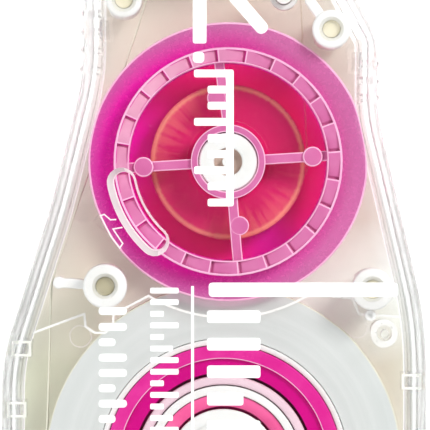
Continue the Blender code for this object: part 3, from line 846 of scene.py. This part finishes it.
def snap_tongue(front, y, side, haze):
    """A tongue that hooks the rear cover; the lower ones show the rim of their mould window."""
    wall_x = side_x(y, side)
    tongue = sorted((wall_x - side * 1.5, wall_x - side * 2.2))
    root = sorted((wall_x - side * 0.9, wall_x - side * 2.2))
    join(front, box(*tongue, y - SNAP_HALF, y + SNAP_HALF, 4.7, 9.0))
    join(front, box(*root, y - SNAP_HALF, y + SNAP_HALF, 7.2, 9.0))
    cut(front, box(tongue[0] - 1, tongue[1] + 1, y - 0.35, y + 0.35, 5.2, 6.1))
    if y < 20.0:
        x0, x1 = sorted((wall_x - side * 0.55, wall_x - side * 2.25))
        window = box(x0, x1, y - 0.68, y + 0.68, 10.95, 11.07, haze)
        cut(front, cut(window, box(x0 + 0.2, x1 - 0.2, y - 0.48, y + 0.48, 10.0, 12.0, haze)))


def half_arrow(index):
    """Raised outline beside the slack window: which way to turn the reel."""
    z0, z1 = CASE_DEPTH - 0.1, CASE_DEPTH + 0.08
    outline = [(-8.95, 20.9), (-9.73, 20.77), (-8.87, 19.5), (-9.13, 19.09), (-9.92, 20.14),
               (-10.82, 21.95), (-10.5, 22.05), (-9.95, 21.58), (-9.5, 21.6)]
    strokes = [prism(bar_points(a, b, 0.12), z0, z1, index) for a, b in zip(outline, outline[1:])]
    corners = [prism(circle(point, 0.07, 12), z0, z1, index) for point in outline]
    return join(strokes[0], *strokes[1:], *corners)


# ---- chassis plate
def build_chassis():
    white, milk = 1, 2
    plate = prism(inset(OUTLINE, WALL + 0.35), *PLATE_Z)
    low, high = PLATE_Z[0] - 1.0, PLATE_Z[1] + 1.0
    edge = [(-25.0, 11.5), (-17.0, 11.5), (-12.3, 13.2), (-12.2, 12.1), (-11.4, 11.55),
            (-10.5, 11.55), (-9.8, 12.1), (-9.7, 13.2), (-6.7, 14.74)]
    edge += arc(TAKEUP, 13.8, 239.5, 306.0, 40)
    edge += [(9.7, 14.75), (11.4, 14.6), (12.0, 13.2), (15.8, 12.95), (25.0, 12.8)]
    cut(plate, prism(edge + [(25.0, -30.0), (-25.0, -30.0)], low, high))
    # A milky strip along the sheet's edge: a painted highlight line.
    join(plate, ribbon(edge[1:-1], 0.2, (PLATE_Z[0] - 0.05, PLATE_Z[1] + 0.1), milk))
    cut(plate, box(-30, 30, 45.0, 60.0, low, high))
    cut(plate, prism(circle(TAKEUP, 3.7, 64), low, high))
    for y, side in SNAPS[3:]:
        wall_x = side_x(y, side)
        notch = sorted((wall_x, wall_x - side * 2.6))
        cut(plate, box(*notch, y - SNAP_HALF - 0.3, y + SNAP_HALF + 0.3, low, high))
    for x, y, outer_r, bore_r in BOSSES:
        join(plate, rod((x, y), outer_r, GEAR_Z[0], POST_TOP, 64, 0.25, white))
        bore = ((bore_r, GEAR_Z[0] + 1.0), (bore_r, POST_TOP - 0.3),
                (bore_r + 0.3, POST_TOP + 0.01), (bore_r + 0.3, POST_TOP + 0.6))
        cut(plate, skin([[(px, py, z) for px, py in circle((x, y), r, 40)] for r, z in bore],
                        index=white))
    low, high = TAPE_Z[0] - 0.2, PLATE_Z[1] + 0.6
    rib = bar_points((-11.9, 15.8), TAPE_GUIDE, 0.85)
    stop = bar_points((8.6, 39.5), (7.4, 41.2), 0.9, 0.3)
    tab_x, tab_y = 12.98, 13.1
    join(plate, soft_prism(rib, low, high, 0.12, white),
         rod(TAPE_GUIDE, 0.55, low, high, 28, 0.15, white),
         soft_prism(stop, PLATE_Z[0], 9.6, 0.15, white),
         rod(GUIDE_POST, 0.74, TAPE_Z[0] - 0.3, PLATE_Z[1] + 0.12, 32, 0.08, white),
         rod((tab_x, tab_y), 0.5, PLATE_Z[0], 9.4, 24, 0.1, white))
    cut(plate, box(tab_x - 0.18, tab_x + 0.18, tab_y - 0.2, tab_y + 0.16, 9.2, 10.0, white))

    def look(centre, normal, old):
        """The cut edges of the sheet get milky white, a painted highlight for the light they
        scatter, so they read as white lines.
        """
        return milk if old == 0 and abs(normal.z) < 0.95 else old

    piece(plate, "chassis", "case", ["chassis_plate"], [CLEAR_PLATE, WHITE, MILKY], pick=look)


# ---- gears
def gear_ring(centre, teeth, tooth_at, bore, z0, z1):
    """Spur gear: curved flanks, rounded tips, chamfered ends."""
    pitch_r = MODULE * teeth / 2.0
    tip_r, root_r = pitch_r + 0.9 * MODULE, pitch_r - 1.2 * MODULE
    turn = 2.0 * math.pi / teeth
    chamfer = 0.06
    rows = []
    for tooth in range(teeth):
        flank = []
        for share in (0.0, 0.35, 0.7, 0.93, 1.0):
            radius = root_r + (tip_r - root_r) * share
            half = 0.36 / pitch_r + (pitch_r - radius) * 0.364 / radius
            half += 0.012 * math.sin(math.pi * share) / pitch_r
            half -= 0.05 / pitch_r if share == 1.0 else 0.0
            flank.append((radius, half))
        path = [(r, -h) for r, h in flank] + [(r, h) for r, h in reversed(flank)]
        for radius, offset in path:
            shape = ((bore, z0 + chamfer), (bore + chamfer, z0), (radius - chamfer, z0),
                     (radius, z0 + chamfer), (radius, z1 - chamfer), (radius - chamfer, z1),
                     (bore + chamfer, z1), (bore, z1 - chamfer))
            rows.append(upright(centre, tooth_at + tooth * turn + offset, shape))
    return skin(rows, wrap=True)


# ---- supply side
def build_supply():
    bottom = GEAR_Z[0]
    piece(ring(SUPPLY, 0.95, 1.75, bottom, SPOOL_TOP, 64), "supply_spindle", "case",
          ["supply_axle"], [WHITE])
    drive = gear_ring(SUPPLY, TEETH["supply"], LINE, 2.05, *GEAR_Z)
    join(drive, ring(SUPPLY, 2.05, 3.0, 2.3, SPOOL_TOP), ring(SUPPLY, 5.0, 6.1, 2.3, SPOOL_TOP))
    piece(drive, "drive_gear", "drive", ["supply_gear"], [DEEP, RING_PINK],
          pick=lambda c, n, old: 1 if c.z > 6.8 else 0)
    piece(ring(SUPPLY, 6.15, 6.86, 3.45, 7.2, 128, 0.15), "slip_sleeve", "drive",
          ["clutch_sleeve"], [WHITE])
    piece(ring(SUPPLY, 6.96, 7.75, 5.95, 7.25, 128, 0.28), "slip_ring", "spool",
          ["clutch_o_ring"], [RUBBER])

    hub = lathe(SUPPLY, [(7.2, WEB_Z), (12.2, WEB_Z), (12.2, 4.0), (10.45, 4.0), (10.45, 7.3),
                         (9.25, 7.3), (9.25, 6.9), (8.0, 6.9), (8.0, 4.2), (7.2, 4.2)], 128, 0.08)

    def hub_look(centre, normal, old):
        """0 deep magenta, 1 the lighter rim on top, 2 its inner edge in painted-highlight pink."""
        r = math.hypot(centre.x, centre.y)
        if centre.z <= 7.2 or r <= 9.1 or r == 9.35:
            return 0
        return 1 if r > 9.35 else 2

    piece(hub, "spool_hub", "spool", ["supply_hub"], [DEEP, DEEP_LIGHT, PINK_HIGHLIGHT], pick=hub_look)
    piece(ring(SUPPLY, 10.5, 11.0, TAPE_Z[0], SPOOL_TOP, 160, 0.08), "spool_core", "spool",
          ["supply_core"], [WHITE])
    piece(ring(SUPPLY, 11.04, TAPE_ROLL_R, *TAPE_Z, 180, 0.12), "tape_roll", "spool",
          ["correction_tape_roll"], [TAPE_SIDE, TAPE_FACE],
          pick=lambda c, n, old: 1 if math.hypot(c.x, c.y) > TAPE_ROLL_R - 0.13 else 0)

    retainer = rod(SUPPLY, 4.8, 7.25, 8.1, 96, 0.2)
    join(retainer, rod(SUPPLY, 0.7, 4.5, 7.6, 32))
    cut(retainer, prism(bar_points((-2.7, 2.6), (-0.9, 3.7), 0.28), 7.7, 9.0))
    cut(retainer, ring(SUPPLY, 3.0, 3.25, 7.9, 9.0, 96, 0.02))
    piece(retainer, "spool_retainer", "case", ["supply_retainer"], [WHITE])


# ---- take-up side
def ratchet_cells(z0):
    """The raised ring: two rims, and between them sawtooth pads that step down to a crease."""
    turn = 2.0 * math.pi / RATCHET_TEETH
    heights = ((-0.04, 9.9), (-0.01, 9.94), (0.0, POST_TOP - 0.05), (0.05, POST_TOP),
               (0.3, 10.3), (0.6, 10.18), (0.88, 10.08))
    rows = sorted((math.radians(5.5) + tooth * turn + (1.0 - share) * turn, top)
                  for tooth in range(RATCHET_TEETH) for share, top in heights)
    r0, r1 = RATCHET_R
    inner, outer = r0 + 0.17, r1 - 0.24
    shoulder, rim = POST_TOP - 0.12, POST_TOP - 0.04
    rings = []
    for angle, top in rows:
        shape = ((r0, z0), (r1, z0), (r1, shoulder), (r1 - 0.05, rim), (outer + 0.05, rim),
                 (outer, top), (inner, top), (inner - 0.05, rim), (r0 + 0.05, rim),
                 (r0, shoulder))
        rings.append(upright(TAKEUP, angle, shape))
    return skin(rings, wrap=True)


def reel_look(centre, normal, old):
    """Face materials of the take-up reel, with painted highlights on edges and painted shade in
    creases.
    """
    clear, frosted, bright, crease, spoke = range(5)
    across, along = centre.x - TAKEUP[0], centre.y - TAKEUP[1]
    r = math.hypot(across, along)
    # Painted highlight: the flange's outer edge, the ratchet's rims and tops and the spokes' sides
    # get the pale edge pink.
    if r > FLANGE_R - 0.14:
        return bright
    if RATCHET_R[0] - 0.01 < r < RATCHET_R[1] + 0.01 and centre.z > FLANGE_Z[1] + 0.1:
        if r < RATCHET_R[0] + 0.12 or r > RATCHET_R[1] - 0.19:
            return bright
        if centre.z > POST_TOP - 0.04 and normal.z > 0.5:
            return bright
        # Painted shade: only the creases on the side away from the key lamp get the dark crease
        # colour.
        shaded = 80.0 < math.degrees(math.atan2(along, across)) % 360.0 < 235.0
        return crease if shaded and (centre.z < 9.96 or normal.z < 0.5) else frosted
    if r < RATCHET_R[0] - 0.11:
        return spoke if normal.z > 0.99 else bright
    return clear


def build_takeup():
    reel = ring(TAKEUP, RATCHET_R[0] - 0.1, FLANGE_R, *FLANGE_Z, 192, 0.18)
    join(reel, ratchet_cells(FLANGE_Z[1] - 0.3), ring(TAKEUP, REEL_BORE, 3.3, 4.6, 9.9))
    z0, z1 = FLANGE_Z[0], 9.5
    spoke_width = 0.9
    for degrees in (3.5, 183.5):
        ends = (polar(TAKEUP, r, degrees) for r in (3.0, 8.85))
        join(reel, soft_prism(bar_points(*ends, spoke_width), z0, z1, 0.1))
        join(reel, rod(polar(TAKEUP, 7.48, degrees), 0.88, z0, z1 + 0.3, 40, 0.12))
    upper = ((0.03, 3.0), (-0.8, 8.85), (-1.0, 5.65))
    lower = ((0.37, -2.95), (0.85, -8.85), (1.0, -5.65))
    for offsets in (upper, lower):
        start, end, half_pad = ((TAKEUP[0] + x, TAKEUP[1] + y) for x, y in offsets)
        join(reel, soft_prism(bar_points(start, end, spoke_width), z0, z1, 0.1))
        join(reel, rod(half_pad, 0.85, z0, z1 + 0.01, 40, 0.1))
    cut(reel, prism(circle(polar(TAKEUP, 2.98, 82.6), 0.16, 16), 9.6, 10.5))
    piece(reel, "takeup_spool", "takeup", ["takeup_reel"],
          [FLANGE, PINK, PINK_HIGHLIGHT, NOTCH_SHADE, SPOKE], pick=reel_look)

    gear = gear_ring(TAKEUP, TEETH["takeup"], LINE + math.pi + math.pi / TEETH["takeup"],
                     REEL_BORE, *GEAR_Z)
    join(gear, ring(TAKEUP, REEL_BORE, 3.35, 2.3, 4.4, 64),
         ring(TAKEUP, REEL_BORE, LOWER_FLANGE_R, WEB_Z, 3.9, 160))
    piece(gear, "takeup_pinion", "takeup", ["takeup_gear"], [LOWER])
    piece(ring(TAKEUP, 3.29, TAKEUP_ROLL_R, *TAPE_Z, 128, 0.08), "liner_roll", "takeup",
          ["takeup_liner_roll"], [LINER_SIDE])

    bore_r, bottom, top = 1.23, GEAR_Z[0], 9.8
    axle = lathe(TAKEUP, [(bore_r, bottom), (2.56, bottom), (2.56, top, 0.25), (bore_r, top, 0.2)],
                 96)
    join(axle, rod(TAKEUP, 1.6, 3.0, 9.0, 48))
    piece(axle, "takeup_spindle", "case", ["takeup_axle"], [WHITE, BROWN],
          pick=lambda c, n, old: 1 if c.z > 7.0 and math.dist(c.xy, TAKEUP) < 1.24 else 0)
    piece(ring(TAKEUP, 0.2, 0.52, 7.7, 9.6, 40, 0.08), "spindle_pin", "case",
          ["takeup_axle_pin"], [WHITE])


def build_idler():
    piece(ring(IDLER, 0.7, 1.5, 1.5, 3.15, 48), "idler_stub", "case", ["idler_axle"], [WHITE])
    gear = gear_ring(IDLER, TEETH["idler"], LINE + math.pi + math.pi / TEETH["idler"], 1.8, *GEAR_Z)
    piece(gear, "idler_pinion", "idler", ["idler_gear"], [DEEP])


def build_backstop():
    anchor, tip = (-12.4, 22.4), (-5.45, 16.7)
    z0, z1, width = 1.7, 2.9, 0.5
    leaf = soft_prism(bar_points(anchor, (-7.0, 17.6), width), z0, z1, 0.06)
    join(leaf, soft_prism(bar_points((-7.25, 17.75), tip, width), z0, z1, 0.06),
         rod(anchor, 1.1, z0 - 0.1, z1 + 0.1, 40))
    piece(leaf, "backstop_leaf", "backstop", ["backstop_pawl"], [CLEAR_PLATE])


# ---- head, rollers and tape
def build_head():
    piece(ring(GUIDE_POST, 0.8, GUIDE_ROLLER_R, *TAPE_Z, 48), "liner_roller", "guide",
          ["guide_roller"], [WHITE])
    piece(ring(TIP, TIP_BORE, TIP_ROLLER_R, *TAPE_Z, 64, 0.15), "press_roller", "tip",
          ["tip_roller"], [RUBBER])
    piece(rod(TIP, 0.45, 3.1, 8.0, 32), "press_roller_pin", "case", ["tip_roller_pin"], [STEEL])
    cheek = rounded_outline([
        (4.7, 45.8, 1.0), (4.7, 57.5, 2.0), (TIP[0] + 1.5, TIP[1] + 0.2, 1.2),
        (TIP[0], TIP[1] + 1.5, 0.8), (TIP[0] - 1.5, TIP[1] + 0.2, 1.2), (-4.2, 57.5, 2.0),
        (-4.2, 45.8, 1.0)], 9.0)
    fork = soft_prism(cheek, 2.9, 4.0, 0.15)
    join(fork, soft_prism(cheek, 7.1, 8.3, 0.15))
    spine = rounded_outline([
        (2.5, 46.6, 0.5), (2.5, 52.5, 1.0), (TIP[0] + 0.9, 61.8, 0.5), (TIP[0] - 0.9, 61.8, 0.5),
        (-2.7, 52.5, 1.0), (-2.7, 46.6, 0.5)], 12.0)
    join(fork, prism(spine, 3.5, 7.6))
    cut(fork, prism(circle(TIP, TIP_BORE, 40), 2.0, 9.0))
    piece(fork, "tip_fork", "case", ["head_frame"], [WHITE])


def build_tape():
    """Tape to the tip, and liner back from it."""
    start = arc(SUPPLY, TAPE_ROLL_R + 0.16, 186.0, 169.0, 12)
    guide = arc(TAPE_GUIDE, 0.72, 178.0, 161.3, 8)
    tip_r = TIP_ROLLER_R + 0.12
    over_tip = arc(TIP, tip_r, 172.0, 93.0, 16)
    piece(ribbon(start + guide + [(-3.45, 50.9)] + over_tip), "tape_run", "case",
          ["coated_tape"], [TAPE_FACE])
    past_tip = arc(TIP, tip_r, 87.0, 8.0, 16)
    pin = arc(GUIDE_POST, GUIDE_ROLLER_R + 0.2, 18.0, 2.0, 8)
    wound = arc(TAKEUP, TAKEUP_ROLL_R + 0.16, 2.0, -8.0, 6)
    piece(ribbon(past_tip + [(3.25, 51.0)] + pin + wound), "liner_run", "case",
          ["return_liner"], [LINER_FACE])


def build_cap():
    """Half width, half depth, corner radius and height of each section; the wall is 1 mm."""
    sections = [(8.2, 5.75, 2.9, CAP_START), (8.18, 5.74, 2.9, 53.5), (8.0, 5.6, 2.9, 57.0),
                (7.55, 5.4, 2.85, 60.5), (6.9, 5.1, 2.8, 64.0), (6.4, 4.8, 2.7, 66.0),
                (5.7, 4.4, 2.6, 67.6), (5.1, 4.0, 2.4, 68.6), (4.3, 3.4, 2.2, 69.3)]
    middle = (NECK_Z[0] + NECK_Z[1]) / 2.0
    wall = 1.0

    def ring_of(half_x, half_z, radius, y, inward=0.0):
        return section(CAP_X - half_x + inward, CAP_X + half_x - inward,
                       middle - half_z + inward, middle + half_z - inward, radius, y)

    rings = [ring_of(half_x, half_z, radius - 0.8, y - (wall if y > 60.0 else 0.0), wall)
             for half_x, half_z, radius, y in reversed(sections)]
    rings += [ring_of(*row) for row in sections]
    piece(skin(rings), "tip_cap", "cap", ["cap"], [CLEAR_CAP])


# ---- print on the front
def build_print():
    """Generic bars, dashes and a ruler comb in white ink; no lettering."""
    z0, z1 = CASE_DEPTH + 0.005, CASE_DEPTH + 0.04

    def bar(x0, x1, y0, y1, corner=0.18):
        return prism(round_box(x0, x1, y0, y1, corner, 30.0), z0, z1)

    def comb(spine, reaches, top, pitch, stroke):
        """A ruler edge: a spine with ticks running left at even steps."""
        steps = [top - pitch * k for k in range(len(reaches))]
        made = bar(spine - stroke, spine, steps[-1] - stroke, top)
        return join(made, *(bar(reach, spine - 0.1, y - stroke, y)
                            for reach, y in zip(reaches, steps)))

    def column(x, lengths, low, thickness, pitch, corner):
        """Separate dashes of the given lengths, running right, one under another."""
        return [bar(x, x + length, low - pitch * k, low + thickness - pitch * k, corner)
                for k, length in enumerate(lengths)]

    marks = [comb(0.9, (-2.6, -1.4, -1.4) * 3, 34.8, 1.42, 0.68),
             bar(-2.7, -1.7, 35.4, 36.35, 0.3),
             bar(-2.7, -1.5, 37.1, 46.5),
             prism(bar_points((-0.9, 43.4), (3.7, 38.1), 1.15, 0.55), z0, z1),
             bar(-1.3, 15.35, 14.8, 16.05, 0.3),
             *column(-1.45, (4.7, *(4.7, 4.7, 3.2) * 3), 12.5, 1.1, 2.42, 0.22),
             bar(-2.85, -2.6, -16.0, 15.75, 0.05),
             *column(-6.45, (2.5, 2.5, 1.2, 2.5, 1.2, 2.0) * 5, 15.1, 0.5, 1.02, 0.12)]
    piece(closed(opened(*marks)), "front_print", "case", (), [PRINT])
    faint = [bar(-11.0, -8.5, 13.2, 13.9, 0.3),
             *column(-11.0, (2.5, 1.5, 2.5, 2.5, 1.5) * 4, 11.8, 0.7, 1.35, 0.3)]
    piece(closed(opened(*faint)), "front_print_pale", "case", (), [PRINT_PALE])


# ---- floor, light and camera
def build_floor():
    half = 900.0
    s = Shader("pale_floor")
    where = s.position()
    s.tints(where, 0.02, ((0.93, 0.93, 0.93), (0.96, 0.96, 0.96)))
    s.gloss(where, 0.5, (0.6, 0.7))
    s.set(Emission_Color=(1.0, 1.0, 1.0, 1.0), Emission_Strength=0.3)
    bm = opened(box(-half, half, -half, half, -5.0, -0.03))
    finish_mesh(bm, "floor", [s.material])


def build_world(scene):
    """A grey-white dome with a dark patch straight overhead."""
    scene.world = bpy.data.worlds.new("studio")
    s = Shader("studio", scene.world)
    up = s.axes(s.node("ShaderNodeTexCoord").outputs["Generated"])["Z"]
    greys = ((0.0, 0.58), (0.28, 1.0), (0.93, 1.0), (0.985, 0.12))
    background = s.tree.nodes["Background"].inputs
    s.link(s.ramp(up, [(at, (g, g, g * 1.01)) for at, g in greys]), background["Color"])
    background["Strength"].default_value = 0.7


def lamp(name, at, size, power):
    """A round area lamp aimed at the middle of the view; size in metres."""
    data = bpy.data.lights.new(name, "AREA")
    data.shape = "DISK"
    data.size = size
    data.energy = power
    made = place(name, data)
    made.location = Vector(at) * MM
    aim = Vector((0.0, 20.0, 0.0)) - Vector(at)
    made.rotation_euler = aim.to_track_quat("-Z", "Y").to_euler()


def build_camera(scene):
    frame_width = 37.84
    data = bpy.data.cameras.new("camera")
    data.lens = 500.0
    data.sensor_width = 36.0
    data.clip_start, data.clip_end = 0.05, 5.0
    camera = place("camera", data)
    distance = frame_width * data.lens / data.sensor_width
    camera.location = Vector((-0.75, 22.0, CASE_DEPTH + distance)) * MM
    scene.camera = camera


def build_stage():
    build_floor()
    scene = bpy.context.scene
    scene.view_settings.view_transform = "Standard"
    scene.cycles.max_bounces = 24
    scene.cycles.transmission_bounces = 22
    scene.cycles.glossy_bounces = 20
    scene.cycles.transparent_max_bounces = 32
    build_world(scene)
    lamp("key", (420.0, 380.0, 560.0), 0.28, 4.5)
    lamp("fill", (-460.0, -260.0, 520.0), 0.6, 2.5)
    build_camera(scene)


build_covers()
build_chassis()
build_supply()
build_takeup()
build_idler()
build_backstop()
build_head()
build_tape()
build_cap()
build_print()
build_stage()
